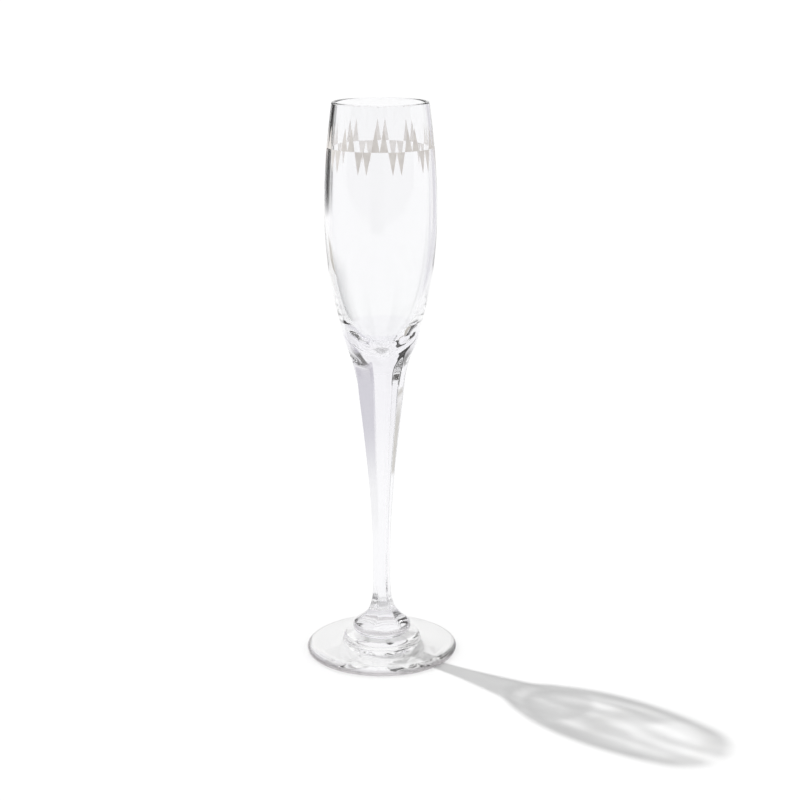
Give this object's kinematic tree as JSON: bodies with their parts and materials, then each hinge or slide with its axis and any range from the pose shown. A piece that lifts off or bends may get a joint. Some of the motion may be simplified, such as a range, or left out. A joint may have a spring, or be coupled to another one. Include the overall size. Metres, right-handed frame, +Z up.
{
  "type": "champagne flute",
  "caption": "Stemmed drinking flute: a tall egg-shaped clear bowl with a frosted zigzag frieze on a six-sided stem, a round collar and a round foot.",
  "frame": {"origin": "centre of the resting ring under the foot, at the bottom of the bounding box", "axes": "+Z up along the axis of the flute, towards the rim; +X level, 15 degrees short of one of the stem's six ridges; +Y away from a viewer in front"},
  "size_m": [0.0688, 0.0688, 0.25],
  "materials": {
    "blown_glass": "clear soda-lime glass, mould-blown, fire-polished lip",
    "pressed_glass": "clear soda-lime glass, pressed and fire-polished",
    "etched_glass": "the bowl's outer skin where it is etched to a satin white"
  },
  "bodies": {
    "root": {"bowl": "blown_glass", "stem": "pressed_glass", "collar": "pressed_glass", "foot": "pressed_glass"}
  },
  "joints": []
}
